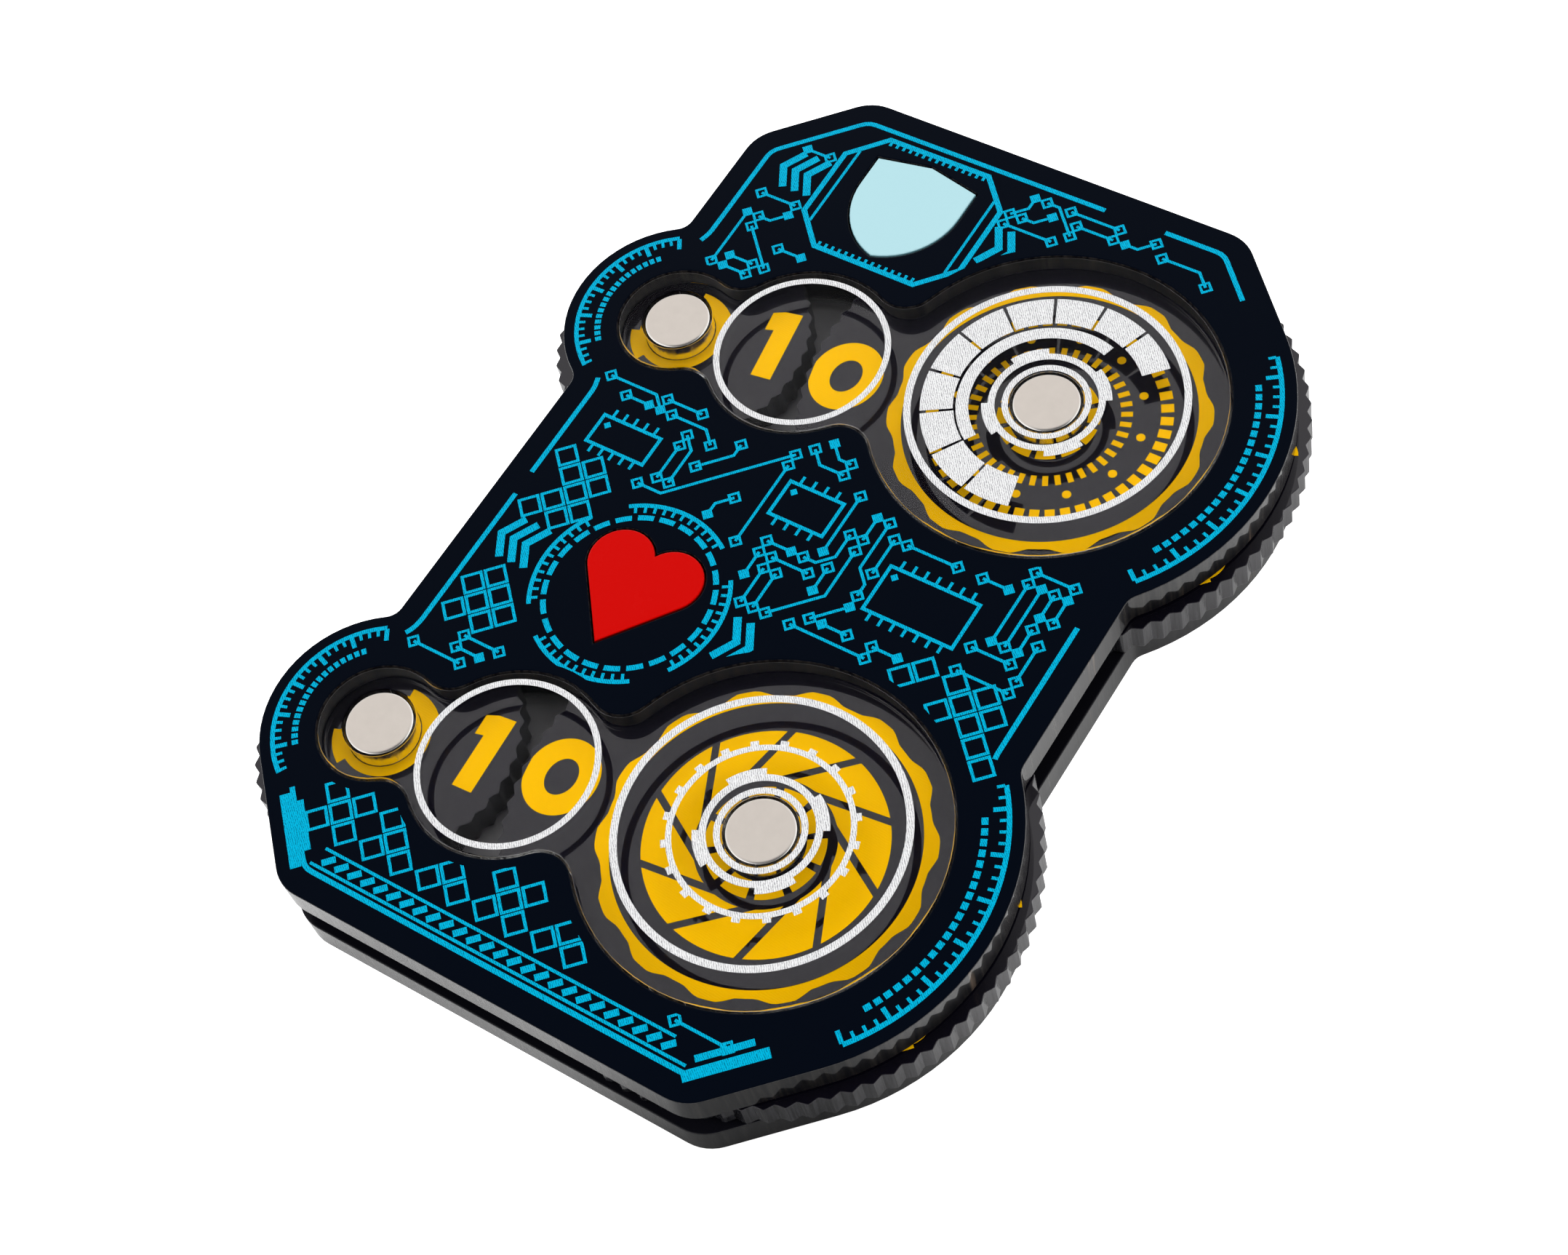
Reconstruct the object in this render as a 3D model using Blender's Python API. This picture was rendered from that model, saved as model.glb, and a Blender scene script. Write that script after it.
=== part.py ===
"""Life counter for card and board games.

Two black acrylic sheets, a front and a back, hold four knurled number wheels
between them. Each counter has a small wheel for the tens and a large wheel for
the units, which meet under a clear window. Every wheel turns on a disc magnet
glued in its middle. Two more magnets, one in each sheet, sit above and below it,
and their pull both centres the wheel and holds the stack together.

The frame has its origin in the middle of the back sheet's outer face. +Z points
out of the front, +Y is the direction in which the numerals stand upright, and +X
points to the units wheels.
"""

import math

import bmesh
import bpy
from mathutils import Vector

MM = 0.001

# Disc magnets: all twelve are alike, and set the thickness of every layer
MAGNET_RADIUS = 3.0 * MM
MAGNET_HEIGHT = 3.0 * MM
MAGNET_EDGE = 0.2 * MM

# Fits
GLUE_GAP = 0.15 * MM
MAGNET_INSET = 0.2 * MM
MAGNET_PROUD = 0.1 * MM
RUNNING_GAP = 0.1 * MM
OVERRUN = 1.0 * MM
ARC_ERROR = 0.012 * MM
SAME_POINT = 0.001 * MM

# Layers, from the back to the front
SHEET = MAGNET_HEIGHT + MAGNET_INSET
SLOT = MAGNET_HEIGHT + 2 * RUNNING_GAP
WHEEL_THICKNESS = MAGNET_HEIGHT - 2 * MAGNET_PROUD
BACK_TOP = SHEET
FRONT_LOW = BACK_TOP + SLOT
FRONT_TOP = FRONT_LOW + SHEET
WHEEL_LOW = BACK_TOP + RUNNING_GAP + MAGNET_PROUD
WHEEL_TOP = WHEEL_LOW + WHEEL_THICKNESS

# Number wheels and their knurled rims
UNITS_WHEEL_RADIUS = 22.25 * MM
TENS_WHEEL_RADIUS = 11.9 * MM
KNURL_PITCH = 1.75 * MM
KNURL_DEPTH = 0.38 * MM
KNURL_SHARES = (0.0, 0.62, 1.0, 0.62)

# How the wheels stand to each other: in pairs, and the two pairs one above the other
WHEELS_APART = 0.64 * MM
COUNTERS_APART = 1.5 * MM
TENS_BEARING = math.radians(190.6)
NUMBER_BEARING = math.radians(191.5)
AXLE_DISTANCE = UNITS_WHEEL_RADIUS + WHEELS_APART + TENS_WHEEL_RADIUS
NUMBER_DISTANCE = UNITS_WHEEL_RADIUS + WHEELS_APART / 2
COUNTER_SPACING = 2 * UNITS_WHEEL_RADIUS + COUNTERS_APART

# Sheet outline: a straight body, a lobe round each wheel, and sloping shoulders
UNITS_WHEEL_SHOWS = 1.15 * MM
TENS_WHEEL_SHOWS = 1.5 * MM
LOBE_STANDS_OUT = 5.4 * MM
EDGE_BEYOND_WHEEL = 0.35 * MM
TOP_LEFT_CUT = 8.0 * MM
CORNER_RADIUS = 4.0 * MM
WAIST_FILLET = 1.6 * MM
UNITS_LOBE = UNITS_WHEEL_RADIUS - UNITS_WHEEL_SHOWS
TENS_LOBE = TENS_WHEEL_RADIUS - TENS_WHEEL_SHOWS
UNITS_X = (TENS_LOBE - UNITS_LOBE - AXLE_DISTANCE * math.cos(TENS_BEARING)) / 2
BODY_HALF_WIDTH = UNITS_X + UNITS_LOBE - LOBE_STANDS_OUT
HALF_HEIGHT = COUNTER_SPACING / 2 + UNITS_WHEEL_RADIUS + EDGE_BEYOND_WHEEL

# Clear windows: three circles in a row, run together with fillets
TENS_WINDOW_WALL = 2.35 * MM
NUMBER_WINDOW = 8.75 * MM
UNITS_WINDOW_MARGIN = 6.55 * MM
WINDOW_FILLET = 2.75 * MM
TENS_WINDOW = MAGNET_RADIUS + GLUE_GAP + TENS_WINDOW_WALL
UNITS_WINDOW = UNITS_WHEEL_RADIUS - UNITS_WINDOW_MARGIN

# Coloured inlays: each stands over a number window, part of the way up the bare sheet there
SHIELD_HALF_WIDTH = 5.3 * MM
SHIELD_DEPTH = 10.2 * MM
SHIELD_SIDE = 3.3 * MM
SHIELD_PEAK = 1.0 * MM
SHIELD_LIFT_SHARE = 0.385
HEART_LOBE = 3.1 * MM
HEART_CLEFT = 0.55 * MM
HEART_DEPTH = 8.1 * MM
HEART_LIFT_SHARE = 0.228

# Ways that the sides of the sheet face, anticlockwise from +X
UPPER_RIGHT = math.radians(45.0)
TOP = math.radians(90.0)
UPPER_LEFT = math.radians(135.0)
LEFT = math.radians(180.0)
LOWER_LEFT = math.radians(225.0)
BOTTOM = math.radians(270.0)
LOWER_RIGHT = math.radians(315.0)
HALF_TURN = math.pi
FULL_TURN = math.tau
SHARP_ANGLE = math.radians(20.0)

COUNTERS = {"lower": -COUNTER_SPACING / 2, "upper": COUNTER_SPACING / 2}
ON_AXIS = Vector((0.0, 0.0))


def direction(angle):
    """Unit vector at an angle from +X."""
    return Vector((math.cos(angle), math.sin(angle)))


def angle_of(vector):
    """Angle of a vector from +X."""
    return math.atan2(vector.y, vector.x)


def units_axle(counter):
    """Place of the units wheel's axle."""
    return Vector((UNITS_X, COUNTERS[counter]))


def tens_axle(counter):
    """Place of the tens wheel's axle."""
    return units_axle(counter) + direction(TENS_BEARING) * AXLE_DISTANCE


def number_centre(counter):
    """Middle of the round window over the two numerals, where the two wheels meet."""
    return units_axle(counter) + direction(NUMBER_BEARING) * NUMBER_DISTANCE


def axles(counter):
    """The two axles of a counter, by name."""
    return {"tens": tens_axle(counter), "units": units_axle(counter)}


def steps_for(radius, sweep):
    """How many straight steps keep an arc true to within the arc error."""
    return math.ceil(abs(sweep) / (2 * math.acos(1 - ARC_ERROR / radius)))


def arc(centre, radius, start, sweep):
    """Points on an arc. A sweep below zero runs clockwise, as a hollow corner does."""
    steps = steps_for(radius, sweep)
    return [centre + direction(start + sweep * step / steps) * radius for step in range(steps + 1)]


def circle(centre, radius):
    """Points on a full circle."""
    return arc(centre, radius, 0.0, FULL_TURN)[:-1]


def turn_from(start, end, way):
    """Angle swept from start to end, anticlockwise for way 1 and clockwise for way -1."""
    return way * ((way * (end - start)) % FULL_TURN)


def side_through(point, faces):
    """Distance from the origin of the straight side that passes a point and faces a direction."""
    return point.dot(direction(faces))


def rounded_corner(faces_a, distance_a, faces_b, distance_b):
    """Arc that rounds the corner where two straight sides meet."""
    normal_a = direction(faces_a)
    normal_b = direction(faces_b)
    inner_a = distance_a - CORNER_RADIUS
    inner_b = distance_b - CORNER_RADIUS
    cross = normal_a.x * normal_b.y - normal_a.y * normal_b.x
    centre = Vector((
        (inner_a * normal_b.y - inner_b * normal_a.y) / cross,
        (normal_a.x * inner_b - normal_b.x * inner_a) / cross,
    ))
    return arc(centre, CORNER_RADIUS, faces_a, turn_from(faces_a, faces_b, 1))


def lobe_meets_body(axle, lobe, side_x, upper):
    """Centre of the fillet in the hollow corner between a lobe and an upright side."""
    outward = math.copysign(1.0, side_x)
    fillet_x = side_x + outward * WAIST_FILLET
    reach = lobe + WAIST_FILLET
    rise = math.sqrt(reach ** 2 - (fillet_x - axle.x) ** 2)
    return Vector((fillet_x, axle.y + (rise if upper else -rise)))


def sheet_outline():
    """Outline of both sheets, anticlockwise, as arcs that straight sides join."""
    lower_units, upper_units = units_axle("lower"), units_axle("upper")
    lower_tens, upper_tens = tens_axle("lower"), tens_axle("upper")
    cut_point = Vector((-BODY_HALF_WIDTH + TOP_LEFT_CUT, HALF_HEIGHT))
    lower_left_side = side_through(lower_tens, LOWER_LEFT) + TENS_LOBE
    lower_right_side = side_through(lower_units, LOWER_RIGHT) + UNITS_LOBE
    upper_right_side = side_through(upper_units, UPPER_RIGHT) + UNITS_LOBE
    upper_left_side = side_through(cut_point, UPPER_LEFT)
    points = rounded_corner(LOWER_LEFT, lower_left_side, BOTTOM, HALF_HEIGHT)
    points += rounded_corner(BOTTOM, HALF_HEIGHT, LOWER_RIGHT, lower_right_side)
    # Right side: out round the lower lobe, in to the waist, out round the upper lobe
    low = lobe_meets_body(lower_units, UNITS_LOBE, BODY_HALF_WIDTH, True)
    high = lobe_meets_body(upper_units, UNITS_LOBE, BODY_HALF_WIDTH, False)
    leave = angle_of(low - lower_units)
    join = angle_of(high - upper_units)
    points += arc(lower_units, UNITS_LOBE, LOWER_RIGHT, turn_from(LOWER_RIGHT, leave, 1))
    points += arc(low, WAIST_FILLET, leave + HALF_TURN, turn_from(leave + HALF_TURN, LEFT, -1))
    points += arc(high, WAIST_FILLET, LEFT, turn_from(LEFT, join + HALF_TURN, -1))
    points += arc(upper_units, UNITS_LOBE, join, turn_from(join, UPPER_RIGHT, 1))
    points += rounded_corner(UPPER_RIGHT, upper_right_side, TOP, HALF_HEIGHT)
    points += rounded_corner(TOP, HALF_HEIGHT, UPPER_LEFT, upper_left_side)
    points += rounded_corner(UPPER_LEFT, upper_left_side, LEFT, BODY_HALF_WIDTH)
    # Left side: the same round the two small lobes, from the top down
    above = lobe_meets_body(upper_tens, TENS_LOBE, -BODY_HALF_WIDTH, True)
    below = lobe_meets_body(upper_tens, TENS_LOBE, -BODY_HALF_WIDTH, False)
    again = lobe_meets_body(lower_tens, TENS_LOBE, -BODY_HALF_WIDTH, True)
    start = angle_of(above - upper_tens)
    end = angle_of(below - upper_tens)
    last = angle_of(again - lower_tens)
    points += arc(above, WAIST_FILLET, 0.0, turn_from(0.0, start + HALF_TURN, -1))
    points += arc(upper_tens, TENS_LOBE, start, turn_from(start, end, 1))
    points += arc(below, WAIST_FILLET, end + HALF_TURN, turn_from(end + HALF_TURN, 0.0, -1))
    points += arc(again, WAIST_FILLET, 0.0, turn_from(0.0, last + HALF_TURN, -1))
    points += arc(lower_tens, TENS_LOBE, last, turn_from(last, LOWER_LEFT, 1))
    return points


def fillet_centre(a, radius_a, b, radius_b, fillet, side):
    """Centre of the fillet that touches two circles from outside, on one side of their line."""
    across = b - a
    reach_a = radius_a + fillet
    reach_b = radius_b + fillet
    along = (reach_a ** 2 - reach_b ** 2 + across.length_squared) / (2 * across.length)
    aside = math.sqrt(reach_a ** 2 - along ** 2)
    forward = across.normalized()
    left = Vector((-forward.y, forward.x))
    return a + forward * along + left * (aside * side)


def window_outline(counter, inset):
    """Outline of a counter's window, anticlockwise. The inset is the glue gap of the clear piece."""
    tens, number, units = tens_axle(counter), number_centre(counter), units_axle(counter)
    tens_radius = TENS_WINDOW - inset
    number_radius = NUMBER_WINDOW - inset
    units_radius = UNITS_WINDOW - inset
    fillet = WINDOW_FILLET + inset
    near_low = fillet_centre(tens, tens_radius, number, number_radius, fillet, -1)
    near_high = fillet_centre(tens, tens_radius, number, number_radius, fillet, 1)
    far_low = fillet_centre(number, number_radius, units, units_radius, fillet, -1)
    far_high = fillet_centre(number, number_radius, units, units_radius, fillet, 1)
    # Round the loop, and past its end again, so that each circle has a fillet before and after
    loop = (
        (near_high, tens, tens_radius, near_low),
        (near_low, number, number_radius, far_low),
        (far_low, units, units_radius, far_high),
        (far_high, number, number_radius, near_high),
    )
    points = []
    for (before, circle, radius, after), (_, following, _, _) in zip(loop, loop[1:] + loop[:1]):
        start = angle_of(before - circle)
        end = angle_of(after - circle)
        points += arc(circle, radius, start, turn_from(start, end, 1))
        leave = angle_of(circle - after)
        meet = angle_of(following - after)
        points += arc(after, fillet, leave, turn_from(leave, meet, -1))
    return points


def point_of_inlay(counter, ceiling, height, lift_share):
    """Lowest point of an inlay, on the number window's centre line, between it and a ceiling."""
    window_top = number_centre(counter).y + NUMBER_WINDOW
    free = ceiling - window_top - height
    return Vector((number_centre(counter).x, window_top + free * lift_share))


def shield_outline(inset):
    """A plain shield: a low peak, two upright sides, and two arcs that meet at the point."""
    height = SHIELD_DEPTH + SHIELD_PEAK
    point = point_of_inlay("upper", HALF_HEIGHT, height, SHIELD_LIFT_SHARE)
    curved = SHIELD_DEPTH - SHIELD_SIDE
    sweep_radius = (SHIELD_HALF_WIDTH ** 2 + curved ** 2) / (2 * SHIELD_HALF_WIDTH)
    middle = point + Vector((0.0, curved))
    past_middle = Vector((sweep_radius - SHIELD_HALF_WIDTH, 0.0))
    radius = sweep_radius - inset
    turn = math.acos(past_middle.x / radius)
    points = arc(middle - past_middle, radius, -turn, turn)
    points.append(middle + Vector((SHIELD_HALF_WIDTH - inset, SHIELD_SIDE - inset)))
    points.append(middle + Vector((0.0, SHIELD_SIDE + SHIELD_PEAK - inset)))
    points.append(middle + Vector((inset - SHIELD_HALF_WIDTH, SHIELD_SIDE - inset)))
    points += arc(middle + past_middle, radius, LEFT, turn)
    return points


def heart_outline(inset):
    """A plain heart: two round lobes, and straight sides from them to the point."""
    ceiling = number_centre("upper").y - NUMBER_WINDOW
    tip = point_of_inlay("lower", ceiling, HEART_DEPTH + HEART_LOBE, HEART_LIFT_SHARE)
    lobe_offset = HEART_LOBE - HEART_CLEFT
    right = tip + Vector((lobe_offset, HEART_DEPTH))
    left = tip + Vector((-lobe_offset, HEART_DEPTH))
    # The side's slope, from the line of centres and the tangent to the lobe
    slope = math.atan2(lobe_offset, HEART_DEPTH) + math.asin(HEART_LOBE / (right - tip).length)
    lobe = HEART_LOBE - inset
    cleft = math.acos(-lobe_offset / lobe)
    points = [tip + Vector((0.0, inset / math.sin(slope)))]
    points += arc(right, lobe, -slope, slope + cleft)
    points += arc(left, lobe, HALF_TURN - cleft, slope + cleft)
    return points


def wheel_outline(radius):
    """Outline of a wheel: a ridge at each knurl pitch, with straight flanks and a soft valley."""
    ridges = round(FULL_TURN * radius / KNURL_PITCH)
    steps = ridges * len(KNURL_SHARES)
    return [
        direction(FULL_TURN * step / steps) * (radius - KNURL_DEPTH * KNURL_SHARES[step % len(KNURL_SHARES)])
        for step in range(steps)
    ]


def material(name, colour, roughness, metallic=0.0, transmission=0.0, coat=0.0):
    """A Principled material."""
    made = bpy.data.materials.new(name)
    made.use_nodes = True
    shader = made.node_tree.nodes["Principled BSDF"]
    shader.inputs["Base Color"].default_value = (*colour, 1.0)
    shader.inputs["Roughness"].default_value = roughness
    shader.inputs["Metallic"].default_value = metallic
    shader.inputs["Transmission Weight"].default_value = transmission
    shader.inputs["Coat Weight"].default_value = coat
    return made


def add_object(name, mesh_source, finish, place=ON_AXIS, parent=None):
    """Put a bmesh into the scene as a named object."""
    mesh = bpy.data.meshes.new(name)
    bmesh.ops.recalc_face_normals(mesh_source, faces=mesh_source.faces)
    mesh_source.to_mesh(mesh)
    mesh_source.free()
    mesh.shade_smooth()
    mesh.set_sharp_from_angle(angle=SHARP_ANGLE)
    mesh.materials.append(finish)
    made = bpy.data.objects.new(name, mesh)
    bpy.context.collection.objects.link(made)
    made.location = (place.x, place.y, 0.0)
    made.parent = parent
    return made


def cut_sheet(name, outline, low, high, finish, **placing):
    """A piece cut from sheet: the outline, extruded from one height to another."""
    shape = bmesh.new()
    face = shape.faces.new([shape.verts.new((point.x, point.y, low)) for point in without_doubles(outline)])
    top = bmesh.ops.extrude_face_region(shape, geom=[face])["geom"]
    raised = [item for item in top if isinstance(item, bmesh.types.BMVert)]
    bmesh.ops.translate(shape, verts=raised, vec=(0.0, 0.0, high - low))
    return add_object(name, shape, finish, **placing)


def without_doubles(outline):
    """The outline without the points where one arc ends and the next one starts."""
    return [
        point for point, before in zip(outline, outline[-1:] + outline[:-1])
        if (point - before).length > SAME_POINT
    ]


def cut_hole(target, name, outline, low, high):
    """Cut an opening through a piece. The cutter runs past both faces."""
    cutter = cut_sheet(name, outline, low - OVERRUN, high + OVERRUN, CUTTER_FINISH)
    cutter.hide_render = True
    cutter.display_type = "WIRE"
    cutter.parent = target.parent
    opening = target.modifiers.new(name, "BOOLEAN")
    opening.object = cutter
    opening.operation = "DIFFERENCE"
    opening.solver = "EXACT"


def cut_seat(target, name, place, low, high):
    """Cut the round seat of a magnet."""
    cut_hole(target, name, circle(place, MAGNET_RADIUS + GLUE_GAP), low, high)


def disc_magnet(name, low, place, parent=None):
    """A disc magnet: a profile with broken edges, spun round its axis."""
    high = low + MAGNET_HEIGHT
    rim = MAGNET_RADIUS - MAGNET_EDGE
    profile = [
        (0.0, low),
        (rim, low),
        (MAGNET_RADIUS, low + MAGNET_EDGE),
        (MAGNET_RADIUS, high - MAGNET_EDGE),
        (rim, high),
        (0.0, high),
    ]
    shape = bmesh.new()
    verts = [shape.verts.new((across, 0.0, height)) for across, height in profile]
    edges = [shape.edges.new(pair) for pair in zip(verts, verts[1:])]
    bmesh.ops.spin(
        shape,
        geom=verts + edges,
        cent=(0.0, 0.0, 0.0),
        axis=(0.0, 0.0, 1.0),
        angle=FULL_TURN,
        steps=steps_for(MAGNET_RADIUS, FULL_TURN),
        use_merge=True,
    )
    bmesh.ops.remove_doubles(shape, verts=shape.verts, dist=SAME_POINT)
    return add_object(name, shape, NICKEL, place=place, parent=parent)


def axle_empty(name, place):
    """An empty on a wheel's axis. What turns with the wheel is its child."""
    made = bpy.data.objects.new(name, None)
    bpy.context.collection.objects.link(made)
    made.location = (place.x, place.y, 0.0)
    made.empty_display_size = MAGNET_RADIUS
    return made


def wheel_on_magnet(name, radius, place):
    """A knurled wheel with its own magnet, both turning about one empty."""
    axle = axle_empty(name + "_axis", place)
    wheel = cut_sheet(name + "_wheel", wheel_outline(radius), WHEEL_LOW, WHEEL_TOP, WHEEL_GREY, parent=axle)
    cut_seat(wheel, name + "_bore", ON_AXIS, WHEEL_LOW, WHEEL_TOP)
    disc_magnet(name + "_wheel_magnet", BACK_TOP + RUNNING_GAP, ON_AXIS, axle)


def sheet_magnets(name, place):
    """The two magnets above and below a wheel, flush with the outer faces of the stack."""
    disc_magnet(name + "_front_magnet", FRONT_TOP - MAGNET_HEIGHT, place)
    disc_magnet(name + "_back_magnet", 0.0, place)


for leftover in list(bpy.data.objects):
    bpy.data.objects.remove(leftover)

BLACK_GLOSS = material("black_gloss_acrylic", (0.006, 0.007, 0.010), 0.12, coat=0.5)
WHEEL_GREY = material("wheel_grey_acrylic", (0.045, 0.045, 0.050), 0.42)
CLEAR = material("clear_acrylic", (1.0, 1.0, 1.0), 0.03, transmission=1.0)
PALE_BLUE = material("pale_blue_acrylic", (0.50, 0.77, 0.82), 0.25)
RED = material("red_acrylic", (0.70, 0.012, 0.006), 0.2)
NICKEL = material("nickel_plate", (0.78, 0.73, 0.69), 0.25, metallic=1.0)
CUTTER_FINISH = material("cutter", (0.5, 0.5, 0.5), 0.5)

# Back sheet: solid but for the seats of its four magnets
back = cut_sheet("back_plate", sheet_outline(), 0.0, BACK_TOP, BLACK_GLOSS)
for counter in COUNTERS:
    for wheel_name, place in axles(counter).items():
        cut_seat(back, f"{counter}_{wheel_name}_back_seat", place, 0.0, BACK_TOP)

# Front sheet: two windows and two inlays let into it
front = cut_sheet("front_plate", sheet_outline(), FRONT_LOW, FRONT_TOP, BLACK_GLOSS)
for counter in COUNTERS:
    cut_hole(front, counter + "_window_cut", window_outline(counter, 0.0), FRONT_LOW, FRONT_TOP)
cut_hole(front, "shield_cut", shield_outline(0.0), FRONT_LOW, FRONT_TOP)
cut_hole(front, "heart_cut", heart_outline(0.0), FRONT_LOW, FRONT_TOP)
cut_sheet("shield_inlay", shield_outline(GLUE_GAP), FRONT_LOW, FRONT_TOP, PALE_BLUE)
cut_sheet("heart_inlay", heart_outline(GLUE_GAP), FRONT_LOW, FRONT_TOP, RED)

for counter in COUNTERS:
    # The clear window, bored for the two front magnets
    window = cut_sheet(counter + "_window", window_outline(counter, GLUE_GAP), FRONT_LOW, FRONT_TOP, CLEAR)
    for wheel_name, place in axles(counter).items():
        cut_seat(window, f"{counter}_{wheel_name}_front_seat", place, FRONT_LOW, FRONT_TOP)
        sheet_magnets(f"{counter}_{wheel_name}", place)
    # The two wheels behind it
    wheel_on_magnet(counter + "_tens", TENS_WHEEL_RADIUS, tens_axle(counter))
    wheel_on_magnet(counter + "_units", UNITS_WHEEL_RADIUS, units_axle(counter))
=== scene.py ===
# %% [markdown]
# # A life counter of laser-cut acrylic
#
# The object is a stack: a black back sheet, four knurled number wheels on disc magnets,
# and a black front sheet with clear windows, coloured inlays and printing. This lesson
# rebuilds the frame's pieces with broken edges and finer curves, adds the ink, and gives
# every surface its finish. Each new piece is drawn from the frame's own outlines.

# %% Load the frame
import math

import bpy
import numpy as np
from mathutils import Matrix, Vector
from mathutils.geometry import delaunay_2d_cdt


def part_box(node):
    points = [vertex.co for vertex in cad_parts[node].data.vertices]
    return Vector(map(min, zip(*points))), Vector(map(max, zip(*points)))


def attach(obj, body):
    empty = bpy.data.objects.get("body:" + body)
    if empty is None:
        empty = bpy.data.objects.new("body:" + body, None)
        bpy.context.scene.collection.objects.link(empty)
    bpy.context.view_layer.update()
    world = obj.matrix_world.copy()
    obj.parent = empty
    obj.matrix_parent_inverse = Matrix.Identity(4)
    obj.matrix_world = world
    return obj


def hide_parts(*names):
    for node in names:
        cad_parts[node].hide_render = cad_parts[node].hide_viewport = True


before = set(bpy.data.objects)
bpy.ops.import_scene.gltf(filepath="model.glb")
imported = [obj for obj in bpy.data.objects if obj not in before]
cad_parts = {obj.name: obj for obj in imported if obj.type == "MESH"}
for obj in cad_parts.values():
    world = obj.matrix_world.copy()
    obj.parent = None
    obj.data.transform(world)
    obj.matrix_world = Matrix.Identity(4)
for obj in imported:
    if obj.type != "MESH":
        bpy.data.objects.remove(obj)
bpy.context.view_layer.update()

MM = 0.001
print("nodes in the frame:", len(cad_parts))

# %% [markdown]
# ## Reading sizes off the frame
#
# A box around a node gives its middle, its radius and its two heights. Millimetres keep
# the numbers readable: every value read from the frame is divided by MM, and every mesh
# is multiplied by it when it is made.

# %% Sizes of the layers and places of the axles
def box_mm(part):
    """The lowest and highest corner of a node, in millimetres."""
    return [np.array(corner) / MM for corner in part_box(part)]


def heights(part):
    """The height of a node's underside and of its top."""
    return [corner[2] for corner in box_mm(part)]


def radius_of(part):
    """Half the width of a node."""
    low, high = box_mm(part)
    return (high - low)[0] / 2


COUNTERS = ("upper", "lower")
AXLES = {f"{counter}_{size}": sum(box_mm(f"{counter}_{size}_wheel_magnet"))[:2] / 2
         for counter in COUNTERS for size in ("tens", "units")}
NUMBER_CENTRES = {"upper": (-10.37, 18.50), "lower": (-10.37, -27.50)}
MAGNET_RADIUS = radius_of("upper_units_wheel_magnet")
WHEEL_RADII = {name: radius_of(name + "_wheel") for name in AXLES}
BACK_TOP = heights("back_plate")[1]
FRONT_TOP = heights("front_plate")[1]
WHEEL_TOP = heights("upper_units_wheel")[1]
print("axles", {name: np.round(place, 2).tolist() for name, place in AXLES.items()})
print("wheel radii", {name: round(radius, 2) for name, radius in WHEEL_RADII.items()})

# %% [markdown]
# ## Taking the outlines from the solids
#
# A piece cut from sheet is known by the loops of its top face: one outline, and one loop
# for each hole. The frame's triangles are loose, so equal corners are first given one
# number. An edge that only one triangle of the top face uses is on a loop.

# %% Loops of a node's top face
def signed_area(loop):
    """Half the sum of the cross products of neighbours: above zero when anticlockwise."""
    x, y = loop.T
    return 0.5 * float(np.sum(x * np.roll(y, -1) - np.roll(x, -1) * y))


def anticlockwise(loop):
    """The loop, turned round if it ran clockwise."""
    return loop if signed_area(loop) > 0 else loop[::-1]


WELD_DECIMALS = 4
SAME_HEIGHT = 0.01


def boundary_edges(triangles):
    """Directed edges whose opposite no triangle has, as rows of two point numbers."""
    edges = np.concatenate([triangles[:, [0, 1]], triangles[:, [1, 2]], triangles[:, [2, 0]]])
    count = int(edges.max()) + 1
    forward = edges[:, 0] * count + edges[:, 1]
    backward = edges[:, 1] * count + edges[:, 0]
    return edges[~np.isin(forward, backward)]


def top_loops(part):
    """The loops of a node's top face, each anticlockwise, with the outline first."""
    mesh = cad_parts[part].data
    mesh.calc_loop_triangles()
    points = np.round(np.array([vertex.co[:] for vertex in mesh.vertices]) / MM, WELD_DECIMALS)
    corners = np.array([triangle.vertices[:] for triangle in mesh.loop_triangles])
    welded, number = np.unique(points, axis=0, return_inverse=True)
    triangles = number.reshape(-1)[corners]
    on_top = np.all(welded[triangles][:, :, 2] > welded[:, 2].max() - SAME_HEIGHT, axis=1)
    following = dict(boundary_edges(triangles[on_top]).tolist())
    loops = []
    while following:
        start, here = following.popitem()
        loop = [start]
        while here != start:
            loop.append(here)
            here = following.pop(here)
        loops.append(anticlockwise(welded[loop][:, :2]))
    return sorted(loops, key=lambda loop: -signed_area(loop))


FRONT_LOOPS = top_loops("front_plate")
print("loops in the front sheet:", [len(loop) for loop in FRONT_LOOPS])

# %% [markdown]
# ## From flat loops to filled shapes
#
# One helper fills a set of loops with triangles, by Delaunay triangulation. The other
# offsets a loop along its mitres: the normals of two neighbouring edges are added and
# lengthened, so that the offset stays parallel to both.

# %% Fill shapes that may overlap, and offset them
WELD_DISTANCE = 1e-5


def triangulate(shapes):
    """Points, their numbers in the shapes, triangles, and the shapes that each triangle lies in."""
    shapes = [anticlockwise(np.asarray(shape, float)) for shape in shapes]
    ends = np.cumsum([len(shape) for shape in shapes])
    faces = [list(range(end - len(shape), end)) for shape, end in zip(shapes, ends)]
    points = [Vector(point) for point in np.vstack(shapes)]
    found = delaunay_2d_cdt(points, [], faces, 0, WELD_DISTANCE)
    return np.array([point[:] for point in found[0]]), found[3], np.array(found[2]), found[5]


def mitres(path, closed=True):
    """For each point, the offset to the right that moves both edges beside it by one."""
    edges = np.roll(path, -1, axis=0) - path
    lengths = np.maximum(np.linalg.norm(edges, axis=1), WELD_DISTANCE)
    normals = np.stack([edges[:, 1], -edges[:, 0]], axis=1) / lengths[:, None]
    before = np.roll(normals, 1, axis=0)
    if not closed:
        normals[-1] = normals[-2]
        before[0] = normals[0]
    return (normals + before) / (1 + np.sum(normals * before, axis=1))[:, None]


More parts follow.
